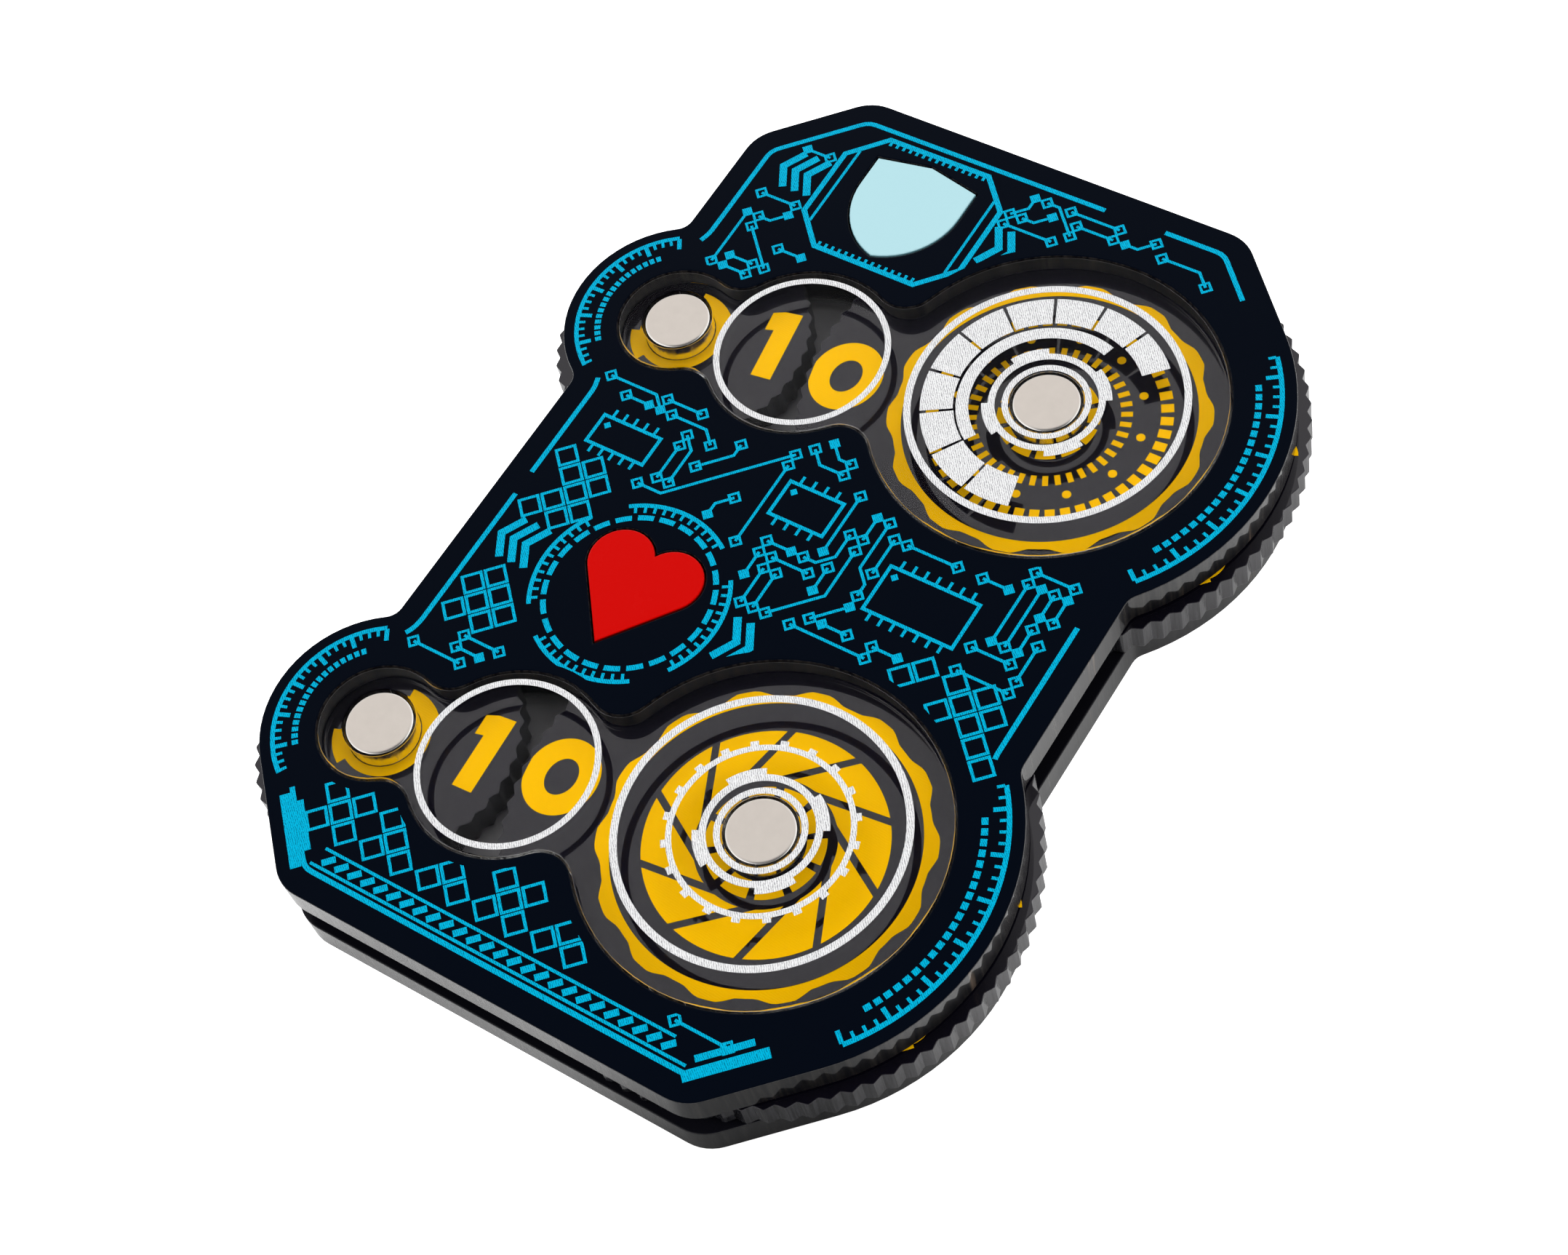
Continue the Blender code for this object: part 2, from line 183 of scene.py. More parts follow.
def grown(loop, distance):
    """The loop, moved outwards everywhere by a distance."""
    return loop + mitres(loop) * distance

# %% Make a mesh object from arrays
SHARP_ANGLE = math.radians(32.0)


def new_object(name, data):
    """An object in the scene that shows the data."""
    made = bpy.data.objects.new(name, data)
    bpy.context.scene.collection.objects.link(made)
    return made


def new_mesh(name, points, faces, material):
    """An object with a mesh, from points in millimetres."""
    mesh = bpy.data.meshes.new(name)
    mesh.from_pydata((np.asarray(points) * MM).tolist(), [], [list(map(int, face)) for face in faces])
    mesh.validate()
    mesh.materials.append(material)
    return new_object(name, mesh)


def smoothen(mesh, sharp_rows):
    """Smooth shading. Steep edges stay sharp, and so do the edges inside a row of points."""
    mesh.shade_smooth()
    mesh.set_sharp_from_angle(angle=SHARP_ANGLE)
    ends = np.array([edge.vertices[:] for edge in mesh.edges])
    sharp = np.array([edge.use_edge_sharp for edge in mesh.edges])
    for first, last in sharp_rows:
        sharp |= np.all((ends >= first) & (ends < last), axis=1)
    mesh.edges.foreach_set("use_edge_sharp", sharp)


def new_piece(name, points, faces, body, material, sharp_rows=(), stands_for=None):
    """A mesh that rides on a body. It may stand for a node, and then it is smooth."""
    piece = new_mesh(name, points, faces, material)
    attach(piece, body)
    if stands_for:
        smoothen(piece.data, sharp_rows)
        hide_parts(stands_for)
    return piece

# %% [markdown]
# ## A piece cut from sheet
#
# A laser leaves walls square to the sheet and corners that look sharp but are broken by
# a hair's breadth, and that is what catches the light. So the wall is a profile carried
# along each loop: a quarter circle, the straight wall, and a quarter circle.

# %% Carry an edge profile along the loops of a sheet piece
ROUND_STEPS = 4
SUPPORT = 0.03


def quarter(edge, steps):
    """A broken edge. With a from 0 to 90 degrees, the inset is edge (1 - sin a) and the drop
    below the top is edge (1 - cos a)."""
    angle = np.linspace(0, math.pi / 2, steps)
    return edge * (1 - np.sin(angle)), edge * (1 - np.cos(angle))


def mirrored(inset, drop, low, high):
    """The insets and heights of a whole wall: the bottom mirrors the top."""
    return np.concatenate([inset, inset[::-1]]), np.concatenate([high - drop, (low + drop)[::-1]])


def skin(grid):
    """Faces over a grid of point numbers that closes on itself sideways."""
    right = np.roll(grid, -1, axis=1)
    return np.stack([grid[:-1], grid[1:], right[1:], right[:-1]], axis=-1).reshape(-1, 4)


def cut_from_sheet(part, loops, edge, body, material):
    """A closed sheet piece in place of a part. The first loop is the outline and the others are
    holes. The points of the outline carry the attribute outer_wall."""
    inset, drop = quarter(edge, ROUND_STEPS)
    inset, height = mirrored(np.append(inset, 0.0), np.append(drop, edge + SUPPORT), *heights(part))
    points, faces, sharp_rows, tops, bottoms = [], [], [], [], []
    count = 0
    for index, loop in enumerate(loops):
        side = 1.0 if index == 0 else -1.0
        flat = loop[None] - side * mitres(loop)[None] * inset[:, None, None]
        tall = np.broadcast_to(height[:, None, None], flat.shape[:2] + (1,))
        points.append(np.concatenate([flat, tall], axis=2).reshape(-1, 3))
        rows, columns = flat.shape[:2]
        grid = count + np.arange(rows * columns).reshape(rows, columns)
        faces.append(skin(grid)[:, ::int(side)])
        sharp_rows += [(grid[0, 0], grid[0, 0] + columns), (grid[-1, 0], grid[-1, 0] + columns)]
        tops.append(grid[0])
        bottoms.append(grid[-1])
        count += rows * columns
    points = np.concatenate(points)
    _, sources, triangles, inside = triangulate([points[ring][:, :2] for ring in tops])
    in_outline = np.array([set(shapes) == {0} for shapes in inside])
    chosen = np.array([source[0] for source in sources])[triangles[in_outline]]
    top = np.concatenate(tops)[chosen]
    bottom = np.concatenate(bottoms)[chosen][:, ::-1]
    every = [face for group in (*faces, top, bottom) for face in group]
    piece = new_piece(part + "_cut", points, every, body, material, sharp_rows, part)
    outer = piece.data.attributes.new("outer_wall", "FLOAT", "POINT")
    outer.data.foreach_set("value", (np.arange(count) < len(height) * len(loops[0])).astype(np.float32))

# %% [markdown]
# ## A turned piece
#
# A disc magnet is a surface of revolution: a few points of radius and height, turned
# round the axis.

# %% Turn a profile about a wheel's axle
TURN_STEPS = 96


def turned(part, radius, height, centre, body, material):
    """A closed turned piece in place of a part. Point (u, v) has radius r(u), height z(u), turn v."""
    angle = np.arange(TURN_STEPS) / TURN_STEPS * math.tau
    x = centre[0] + radius[:, None] * np.cos(angle)
    y = centre[1] + radius[:, None] * np.sin(angle)
    points = np.stack([x, y, np.broadcast_to(height[:, None], x.shape)], axis=-1).reshape(-1, 3)
    grid = np.arange(x.size).reshape(x.shape)
    faces = [*skin(grid), grid[0], grid[-1][::-1]]
    sharp_rows = [(0, TURN_STEPS), (x.size - TURN_STEPS, x.size)]
    new_piece(part + "_turned", points, faces, body, material, sharp_rows, part)

# %% [markdown]
# ## Shared effects for the finishes
#
# Four effects turn up on several materials, so each is a node group: a mask that tells
# cut walls from polished faces, the upright streaks that a laser leaves on a wall, slow
# clouds for uneven gloss, and the fine hatching of printed areas. The groups put out
# values only, and each material decides what to do with them.

# %% Helpers for node trees
def node(tree, kind, inputs=(), **settings):
    """A new node. Its inputs, by name or number, take plain values or other nodes' outputs."""
    made = tree.nodes.new("ShaderNode" + kind)
    for label, value in settings.items():
        setattr(made, label, value)
    for label, value in dict(inputs).items():
        if isinstance(value, bpy.types.NodeSocket):
            tree.links.new(value, made.inputs[label])
        else:
            made.inputs[label].default_value = value
    return made


def maths(tree, operation, first, second=0.5, clamp=False):
    """A Math node. Each operand is a number or an output socket."""
    return node(tree, "Math", {0: first, 1: second}, operation=operation, use_clamp=clamp).outputs[0]


def times(tree, first, second, clamp=False):
    """The product of two operands."""
    return maths(tree, "MULTIPLY", first, second, clamp)


def new_group(name, inputs):
    """A node group with float inputs {name: default}: the group, its inputs and its output."""
    group = bpy.data.node_groups.new(name, "ShaderNodeTree")
    for label, default in inputs.items():
        socket = group.interface.new_socket(label, in_out="INPUT", socket_type="NodeSocketFloat")
        socket.default_value = default
    group.interface.new_socket("Value", in_out="OUTPUT", socket_type="NodeSocketFloat")
    given = group.nodes.new("NodeGroupInput").outputs
    return group, given, group.nodes.new("NodeGroupOutput").inputs["Value"]


def object_mm(tree, upright=1.0):
    """Object coordinates in millimetres, with the upright one times a factor."""
    where = node(tree, "TexCoord").outputs["Object"]
    return node(tree, "Mapping", {"Vector": where, "Scale": (1 / MM, 1 / MM, upright / MM)}).outputs[0]

# %% Group: walls against faces
def build_wall_mask():
    """One on walls, nought on faces: four times the limit less the upright part of the normal."""
    group, given, out = new_group("wall_mask", {"Limit": 0.8})
    split = node(group, "SeparateXYZ", {0: node(group, "NewGeometry").outputs["Normal"]})
    steep = maths(group, "SUBTRACT", given["Limit"], maths(group, "ABSOLUTE", split.outputs["Z"]))
    group.links.new(times(group, steep, 4.0, clamp=True), out)
    return group

# %% Groups: laser streaks and clouds
def build_noise(name, scale, detail, roughness, upright=1.0):
    """Noise that counts its scale per millimetre. Drawn out along Z, it gives streaks down a cut
    wall, and left even, it gives clouds of gloss and colour."""
    group, given, out = new_group(name, {"Scale": scale, "Detail": detail})
    noise = node(group, "TexNoise", {
        "Vector": object_mm(group, upright), "Scale": given["Scale"], "Detail": given["Detail"],
        "Roughness": roughness})
    group.links.new(noise.outputs["Fac"], out)
    return group

# %% Group: hatching
HATCH_WAVER = 0.25


def build_hatch():
    """Fine parallel lines at an angle, roughened so that they break up here and there."""
    group, given, out = new_group("fine_hatch", {"Scale": 5.0, "Angle": 0.6})
    where = object_mm(group)
    split = node(group, "SeparateXYZ", {0: where}).outputs
    across = times(group, split["X"], maths(group, "COSINE", given["Angle"]))
    along = times(group, split["Y"], maths(group, "SINE", given["Angle"]))
    noise = node(group, "TexNoise", {"Vector": where, "Scale": 3.0, "Detail": 3.0})
    waver = times(group, noise.outputs["Fac"], HATCH_WAVER)
    distance = maths(group, "ADD", maths(group, "ADD", across, along), waver)
    phase = times(group, distance, given["Scale"])
    wave = maths(group, "SINE", times(group, phase, math.tau))
    group.links.new(times(group, maths(group, "ADD", wave, 1.0), 0.5), out)
    return group


WALL_MASK, HATCH = build_wall_mask(), build_hatch()
STREAKS = build_noise("laser_streaks", 4.0, 4.0, 0.65, upright=0.05)
CLOUDS = build_noise("clouds", 0.2, 6.0, 0.6)
print("groups:", [group.name for group in bpy.data.node_groups])

# %% [markdown]
# ## The finishes
#
# Each material starts from one Principled shader. `blend` mixes two colours by a mask,
# `between` maps a mask to a range of values, `choose` picks a value by a mask, and
# `finish` feeds the shader and bumps the surface.

# %% Helpers for materials
DARK_GLINT = (0.01, 0.01, 0.01, 1.0)
ACRYLIC_IOR = 1.49


def principled(material, label):
    """The input of a material's shader that a label names, with underscores for spaces."""
    return material.node_tree.nodes["Principled BSDF"].inputs[label.replace("_", " ")]


def new_material(name, slot, **values):
    """A material with its shader set to plain values, and its node tree."""
    material = bpy.data.materials.new(name)
    material.use_nodes = True
    for label, value in values.items():
        principled(material, label).default_value = value
    return material, material.node_tree


def effect(tree, group, **values):
    """A group placed in a material, with its own values. Gives back its output."""
    inputs = {label.replace("_", " "): value for label, value in values.items()}
    return node(tree, "Group", inputs, node_tree=group).outputs[0]


def between(tree, mask, low, high, mask_low=0.3, mask_high=0.7):
    """A value that runs from low to high as the mask runs between its own two bounds."""
    inputs = {"Value": mask, "From Min": mask_low, "From Max": mask_high, "To Min": low, "To Max": high}
    return node(tree, "MapRange", inputs).outputs["Result"]


def choose(tree, mask, low, high):
    """A value that is low where the mask is nought and high where it is one."""
    return node(tree, "Mix", {0: mask, 2: low, 3: high}).outputs[0]


def blend(tree, mask, first, second):
    """A colour that goes from first to second as the mask goes from nought to one."""
    first, second = ((*colour, 1.0) if isinstance(colour, tuple) else colour for colour in (first, second))
    return node(tree, "Mix", {0: mask, 6: first, 7: second}, data_type="RGBA").outputs[2]


def away_from(tree, place):
    """The distance from a place, given in millimetres, in Object coordinates."""
    ends = {0: node(tree, "TexCoord").outputs["Object"], 1: [part * MM for part in place]}
    return node(tree, "VectorMath", ends, operation="DISTANCE").outputs["Value"]


def outer_wall(tree):
    """One on the points of a sheet piece's outline, and nought on its holes."""
    return node(tree, "Attribute", attribute_name="outer_wall").outputs["Fac"]


def finish(material, height, depth, **fed):
    """Feed the shader, and bump the surface by a height mask times a depth in millimetres."""
    tree = material.node_tree
    fed["Normal"] = node(tree, "Bump", {"Distance": depth * MM, "Height": height}).outputs["Normal"]
    for label, output in fed.items():
        tree.links.new(output, principled(material, label))
    return material

# %% Black acrylic: polished faces, scored walls
SCORCHED = (0.085, 0.062, 0.045)
OPENING_WALLS = (0.002, 0.002, 0.004), (0.04, 0.036, 0.034)
# Painted light: the grey that the back sheet's face takes round each given place, fading out between the
# two reaches.
PAINTED_LIGHT_GREY = (0.16, 0.157, 0.165)
PAINTED_LIGHT_REACH = 8.2 * MM, 9.6 * MM


def black_acrylic(name, glint, level, face, wall_dark, wall_light, painted_light_at=()):
    """Cast acrylic with black faces, and a grey pool of painted light round each place given. A coat gives
    the walls of the outline a flame-polished shine, and stays off the faces and the glued openings."""
    made, tree = new_material(
        name, "black_gloss_acrylic", IOR=ACRYLIC_IOR, Specular_Tint=glint, Specular_IOR_Level=level,
        Coat_IOR=ACRYLIC_IOR, Coat_Roughness=0.05)
    wall = effect(tree, WALL_MASK)
    outline = times(tree, wall, outer_wall(tree))
    streaks = effect(tree, STREAKS, Scale=3.0)
    scorch = effect(tree, STREAKS, Scale=0.45)
    ripples = effect(tree, STREAKS, Scale=0.9, Detail=1.0)
    face_rough = between(tree, effect(tree, CLOUDS, Scale=0.12), 0.10, 0.2)
    scored = blend(tree, between(tree, streaks, 0.0, 1.0, 0.45, 0.75), wall_dark, wall_light)
    scored = blend(tree, between(tree, scorch, 0.0, 1.0, 0.65, 0.72), scored, SCORCHED)
    opening = blend(tree, between(tree, streaks, 0.0, 1.0, 0.4, 0.75), *OPENING_WALLS)
    # Each given place gets a painted pool of light on the face.
    for place in painted_light_at:
        face = blend(tree, between(tree, away_from(tree, place), 1.0, 0.0, *PAINTED_LIGHT_REACH), face, PAINTED_LIGHT_GREY)
    return finish(
        made, times(tree, wall, ripples), 0.02,
        Base_Color=blend(tree, wall, face, blend(tree, outline, opening, scored)),
        Roughness=choose(tree, wall, face_rough, between(tree, streaks, 0.3, 0.4)),
        Coat_Weight=times(tree, outline, between(tree, streaks, 0.7, 0.95)))

# %% Clear acrylic: light passes, walls are scored
def clear_acrylic():
    """Clear cast acrylic. Shadow rays pass straight through, so what lies behind is lit. The outer
    wall is glued to the black sheet. From inside it shows that sheet's wall and nothing of its own."""
    made, tree = new_material(
        "clear", "clear_acrylic", IOR=ACRYLIC_IOR, Transmission_Weight=1.0, Specular_Tint=DARK_GLINT,
        Base_Color=(0.97, 0.97, 0.965, 1.0))
    wall = effect(tree, WALL_MASK)
    streaks = effect(tree, STREAKS, Scale=2.2)
    inside = node(tree, "NewGeometry").outputs["Backfacing"]
    bonded = times(tree, times(tree, wall, outer_wall(tree)), inside)
    finish(
        made, times(tree, wall, streaks), 0.05,
        Roughness=choose(tree, wall, 0.0, between(tree, streaks, 0.05, 0.3, 0.35, 0.7)),
        Alpha=maths(tree, "SUBTRACT", 1.0, bonded))
    glass = tree.nodes["Principled BSDF"].outputs["BSDF"]
    passing = node(tree, "BsdfTransparent", {"Color": (0.98, 0.98, 0.98, 1.0)}).outputs["BSDF"]
    shadow = node(tree, "LightPath").outputs["Is Shadow Ray"]
    mixed = node(tree, "MixShader", {0: shadow, 1: glass, 2: passing}).outputs["Shader"]
    tree.links.new(mixed, tree.nodes["Material Output"].inputs["Surface"])
    return made

# %% Grey acrylic of the wheels: satin faces, ribbed glossy rims
def wheel_acrylic():
    """Satin grey sheet, with a fine grain on its faces and scored ridges on its rim."""
    made, tree = new_material(
        "satin_grey", "wheel_grey_acrylic", IOR=ACRYLIC_IOR, Specular_Tint=(1.0, 0.97, 1.0, 1.0))
    wall = effect(tree, WALL_MASK)
    streaks = effect(tree, STREAKS, Scale=5.0, Detail=2.0)
    clouds = effect(tree, CLOUDS, Scale=1.5)
    face_rough = between(tree, effect(tree, CLOUDS, Scale=14.0), 0.03, 0.07)
    face = blend(tree, clouds, (0.0015, 0.0013, 0.003), (0.003, 0.0025, 0.006))
    ridges = between(tree, streaks, 0.0, 1.0, 0.4, 0.7)
    rim = blend(tree, ridges, (0.005, 0.005, 0.006), (0.03, 0.03, 0.034))
    return finish(
        made, times(tree, wall, streaks), 0.02, Base_Color=blend(tree, wall, face, rim),
        Roughness=choose(tree, wall, face_rough, between(tree, streaks, 0.06, 0.22)))

# %% Coloured acrylic of the inlays
def inlay_acrylic(name, face_colour, wall_colour):
    """Solid-coloured sheet: an even gloss face, and walls a shade deeper."""
    made, tree = new_material(
        name, name + "_acrylic", IOR=ACRYLIC_IOR, Specular_Tint=DARK_GLINT, Specular_IOR_Level=0.2)
    wall = effect(tree, WALL_MASK)
    streaks = effect(tree, STREAKS, Scale=3.0)
    face_rough = between(tree, effect(tree, CLOUDS, Scale=0.3), 0.18, 0.3)
    return finish(
        made, times(tree, wall, streaks), 0.03,
        Base_Color=blend(tree, wall, face_colour, wall_colour),
        Roughness=choose(tree, wall, face_rough, 0.35))

# %% Nickel plate of the magnets
def nickel_plate():
    """Warm nickel: tumbled satin faces, and a polished edge and side whose whiter colour is partly painted
    highlight.
    """
    made, tree = new_material("bright_nickel", "nickel_plate", Metallic=1.0)
    wall = effect(tree, WALL_MASK, Limit=0.99)
    clouds = effect(tree, CLOUDS, Scale=0.9)
    grain = effect(tree, CLOUDS, Scale=18.0)
    # Painted highlight, in part: the edge and the side take a whiter colour than the faces.
    face = blend(tree, clouds, (0.565, 0.515, 0.47), (0.64, 0.585, 0.535))
    return finish(
        made, grain, 0.004, Base_Color=blend(tree, wall, face, (0.95, 0.93, 0.90)),
        Roughness=choose(tree, wall, between(tree, grain, 0.40, 0.5), 0.14))

# %% Inks: cyan, yellow and white
def ink(name, slot, bright, dark, pitch, angle, wear_from, depth):
    """Printed ink, laid down in fine passes, with a little of the sheet showing between."""
    made, tree = new_material(name, slot, Specular_Tint=DARK_GLINT, Specular_IOR_Level=0.1)
    hatch = effect(tree, HATCH, Scale=pitch, Angle=angle)
    clouds = effect(tree, CLOUDS, Scale=7.0)
    worn = between(tree, clouds, 0.0, 1.0, wear_from, wear_from + 0.3)
    wear = times(tree, hatch, worn, clamp=True)
    return finish(
        made, maths(tree, "ADD", hatch, clouds), depth,
        Base_Color=blend(tree, wear, bright, dark), Roughness=between(tree, clouds, 0.35, 0.55))

# %% Make the finishes
FRONT_BLACK = black_acrylic(
    "front_black", DARK_GLINT, 0.08, (0.0010, 0.0019, 0.0044), (0.003, 0.003, 0.004),
    (0.018, 0.016, 0.014))
# The back sheet has painted light: a grey pool round the middle of each number window.
BACK_BLACK = black_acrylic(
    "back_black", (0.8, 0.8, 0.8, 1.0), 0.1, (0.004, 0.004, 0.006), (0.002, 0.002, 0.003),
    (0.01, 0.009, 0.009), painted_light_at=[(*place, BACK_TOP) for place in NUMBER_CENTRES.values()])
CLEAR = clear_acrylic()
WHEEL_GREY = wheel_acrylic()
PALE_BLUE = inlay_acrylic("pale_blue", (0.295, 0.465, 0.50), (0.15, 0.31, 0.36))
RED = inlay_acrylic("red", (0.39, 0.0008, 0.0002), (0.18, 0.001, 0.0005))
NICKEL = nickel_plate()
CYAN_INK, YELLOW_INK, WHITE_INK = (ink(*values) for values in (
    ("cyan_ink", "black_gloss_acrylic", (0.0, 0.315, 0.50), (0.0, 0.10, 0.16), 6.0, 0.9, 0.3, 0.006),
    ("yellow_ink", "wheel_grey_acrylic", (1.0, 0.54, 0.0), (0.85, 0.40, 0.0), 5.0, 1.5, 0.5, 0.004),
    ("white_ink", "clear_acrylic", (0.61, 0.61, 0.615), (0.2, 0.2, 0.21), 5.5, 0.7, 0.3, 0.012)))
print("materials:", [material.name for material in bpy.data.materials])

# %% [markdown]
# ## The sheets, windows and inlays
#
# Every sheet piece goes through the same function, with the loops of its own node.

# %% Cut the flat pieces
BROKEN_EDGE = 0.12
GLUE_LINE = 0.02
SHEET_PIECES = {
    "front_plate": FRONT_BLACK, "back_plate": BACK_BLACK, "upper_window": CLEAR, "lower_window": CLEAR,
    "shield_inlay": PALE_BLUE, "heart_inlay": RED,
}
for part, material in SHEET_PIECES.items():
    loops = top_loops(part)
    if material is CLEAR:
        loops[0] = grown(loops[0], -GLUE_LINE)
    cut_from_sheet(part, loops, BROKEN_EDGE, "case", material)
print("cut from sheet:", ", ".join(SHEET_PIECES))

# %% [markdown]
# ## The number wheels
#
# Only a wheel's outline is new: the radius falls from the crest of each ridge along a
# straight flank into a soft valley.

# %% Outline of a knurled wheel
KNURL_PITCH = 1.75
KNURL_DEPTH = 0.38
KNURL_EASING = 0.3
POINTS_PER_RIDGE = 8


def knurled(centre, radius):
    """r(a) = radius - depth w(a), where w is a triangle wave with its crests and valleys eased."""
    ridges = round(math.tau * radius / KNURL_PITCH)
    count = ridges * POINTS_PER_RIDGE
    turn = np.arange(count) / count
    triangle = 1 - np.abs(2 * ((turn * ridges) % 1.0) - 1)
    eased = 0.5 - 0.5 * np.cos(math.pi * triangle)
    wave = (1 - KNURL_EASING) * triangle + KNURL_EASING * eased
    reach = (radius - KNURL_DEPTH * wave)[:, None]
    angle = turn * math.tau
    return centre + reach * np.stack([np.cos(angle), np.sin(angle)], axis=1)


WHEEL_EDGE = 0.07
for axle, centre in AXLES.items():
    wheel = axle + "_wheel"
    loops = [knurled(centre, WHEEL_RADII[axle]), top_loops(wheel)[-1]]
    cut_from_sheet(wheel, loops, WHEEL_EDGE, wheel, WHEEL_GREY)
print("wheels cut:", len(AXLES))

# %% [markdown]
# ## The magnets
#
# All twelve are alike: a flat satin face and a polished rim, which draws a bright ring, partly
# as painted highlight in the rim's whiter colour.

# %% Turn the magnets
RIM = 0.28
RIM_STEPS = 7
for axle, centre in AXLES.items():
    for level, body in (("front", "case"), ("wheel", axle + "_wheel"), ("back", "case")):
        part = f"{axle}_{level}_magnet"
        inset, height = mirrored(*quarter(RIM, RIM_STEPS), *heights(part))
        turned(part, MAGNET_RADIUS - inset, height, centre, body, NICKEL)
print("magnets turned:", 3 * len(AXLES))

# %% [markdown]
# ## Ink
#
# Everything printed is flat, so it is drawn as overlapping polygons. Their union is
# triangulated in one go, cut to where ink may go, and given the thickness of a coat.

# %% Flat shapes to print with
def polar(centre, radius, degrees):
    """Points at a radius and at angles in degrees about a centre."""
    angle = np.radians(np.atleast_1d(degrees))
    turn = np.stack([np.cos(angle), np.sin(angle)], axis=1)
    return np.asarray(centre) + turn * np.reshape(radius, (-1, 1))


def line(path, width, closed=False):
    """A stroke along a path: one block for each step, mitred where they meet."""
    path = np.asarray(path, float)
    offset = mitres(path, closed) * width / 2
    right, left = path + offset, path - offset
    blocks = np.stack([right, np.roll(right, -1, axis=0), np.roll(left, -1, axis=0), left], axis=1)
    return list(blocks if closed else blocks[:-1])


def between_rows(inside, outside):
    """Blocks between two rows of points."""
    return list(np.stack([inside[:-1], outside[:-1], outside[1:], inside[1:]], axis=1))


def band(centre, inner, outer, start=0.0, end=360.0, step=3.0):
    """Part of a ring between two radii. The outer one may be a function of degrees."""
    angles = np.linspace(start, end, max(2, math.ceil(abs(end - start) / step) + 1))
    outer = outer(angles) if callable(outer) else outer
    return between_rows(polar(centre, inner, angles), polar(centre, outer, angles))


def dashes(centre, inner, outer, starts, span):
    """Equal parts of a ring."""
    shapes = []
    for start in starts:
        shapes += band(centre, inner, outer, start, start + span)
    return shapes


def ticks(centre, inner, outer, width, degrees):
    """Straight bars that point to the centre."""
    shapes = []
    for angle in degrees:
        shapes += line(polar(centre, (inner, outer), angle), width)
    return shapes

# %% Turn flat shapes into a coat of ink
INK = 0.025
INK_LIFT = 0.005


def print_ink(name, shapes, height, body, material, within=None, without=()):
    """The union of the shapes, cut to an outline and round keep-out loops, as a thin coat."""
    limits = ([within] if within is not None else []) + list(without)
    points, _, triangles, inside = triangulate(list(shapes) + limits)
    drawn = set(range(len(shapes)))
    must = set() if within is None else {len(shapes)}
    kept = np.array([bool(drawn & set(found)) and set(found) - drawn == must for found in inside])
    used, triangles = np.unique(triangles[kept], return_inverse=True)
    triangles = triangles.reshape(-1, 3)
    top = np.column_stack([points[used], np.full(len(used), height + INK_LIFT + INK)])
    bottom = top - (0.0, 0.0, INK)
    count = len(used)
    edge = boundary_edges(triangles)
    wall = np.stack([edge[:, 1], edge[:, 0], edge[:, 0] + count, edge[:, 1] + count], axis=1)
    faces = [*triangles, *(triangles[:, ::-1] + count), *wall]
    new_piece(name, np.concatenate([top, bottom]), faces, body, material)


def print_on_wheel(axle, kind, shapes, within=None, without=()):
    """Yellow ink on a wheel, named after the wheel's axle."""
    print_ink(f"{axle}_{kind}", shapes, WHEEL_TOP, axle + "_wheel", YELLOW_INK, within, without)

# %% [markdown]
# ## Numerals
#
# Bars and elliptical arcs give the heavy, even stroke of the real numerals. On a wheel
# they stand with even turns between them, cut off at the rim and at the dial.

# %% Draw the ten numerals
NUMERAL_HEIGHT = 7.3
NUMERAL_WIDTH = 5.0
STROKE = 1.9


def bow(middle, across, up, start, end):
    """A stroke round part of an ellipse, given by its outer half width and half height."""
    angles = np.radians(np.linspace(start, end, max(3, math.ceil(abs(end - start) / 6))))
    turn = np.stack([np.cos(angles), np.sin(angles)], axis=1)
    return between_rows(middle + turn * (across - STROKE, up - STROKE), middle + turn * (across, up))


def numeral(value, zero_width):
    """Polygons of a numeral, upright about its middle. w and h are half its width and height."""
    w, h, s = (NUMERAL_WIDTH if value else zero_width) / 2, NUMERAL_HEIGHT / 2, STROKE
    small = (h + s / 2) / 2
    top, low = np.array((0.0, h - small)), np.array((0.0, small - h))
    narrow = w - s / 6
    shapes = {
        0: bow((0, 0), w, h, 0, 360),
        1: [[(-0.15, -h), (1.75, -h), (1.75, h), (0.1, h - 0.1), (-0.95, h - 0.5), (-0.95, h - 2.4),
             (-0.15, h - 2.25)]],
        2: bow(top, narrow, small, -35, 170) + [[(-w, s - h), (-w, -h), (w, -h), (w, s - h)]]
        + line([(narrow * 0.55, -0.35), (-w + s * 0.75, s / 2 - h)], s),
        3: bow(top, narrow, small, -90, 160) + bow(low, w, small, -160, 90),
        4: line([(w / 3, -h), (w / 3, h)], s) + line([(-w, -h / 3), (w, -h / 3)], s)
        + line([(w / 3, h - s / 2), (-w + s / 2, -h / 3)], s),
        5: line([(narrow, h - s / 2), (-narrow, h - s / 2)], s)
        + line([(s / 2 - narrow * 0.8, h), (s / 2 - narrow * 0.8, 0)], s) + bow(low, w, small, -155, 140),
        6: bow(low, narrow, small, 0, 360)
        + line([(-w + s / 2, low[1]), (-w * 0.45, h * 0.45), (w * 0.45, h)], s),
        7: line([(-w, h - s / 2), (w, h - s / 2)], s) + line([(w - s / 2, h), (-w / 3, -h)], s),
        8: bow(top, narrow, small, 0, 360) + bow(low, w, small, 0, 360),
        9: bow(top, w, small, 0, 360)
        + line([(w - s / 2, top[1]), (w * 0.45, -h * 0.45), (-w * 0.45, -h)], s),
    }
    return [np.asarray(shape, float) for shape in shapes[value]]


def turn_about(shapes, centre, degrees):
    """The shapes, turned about a centre."""
    angle = math.radians(degrees)
    matrix = np.array([[math.cos(angle), math.sin(angle)], [-math.sin(angle), math.cos(angle)]])
    return [(shape - centre) @ matrix + centre for shape in shapes]


print("numerals drawn:", sum(len(numeral(value, NUMERAL_WIDTH)) for value in range(10)), "polygons")

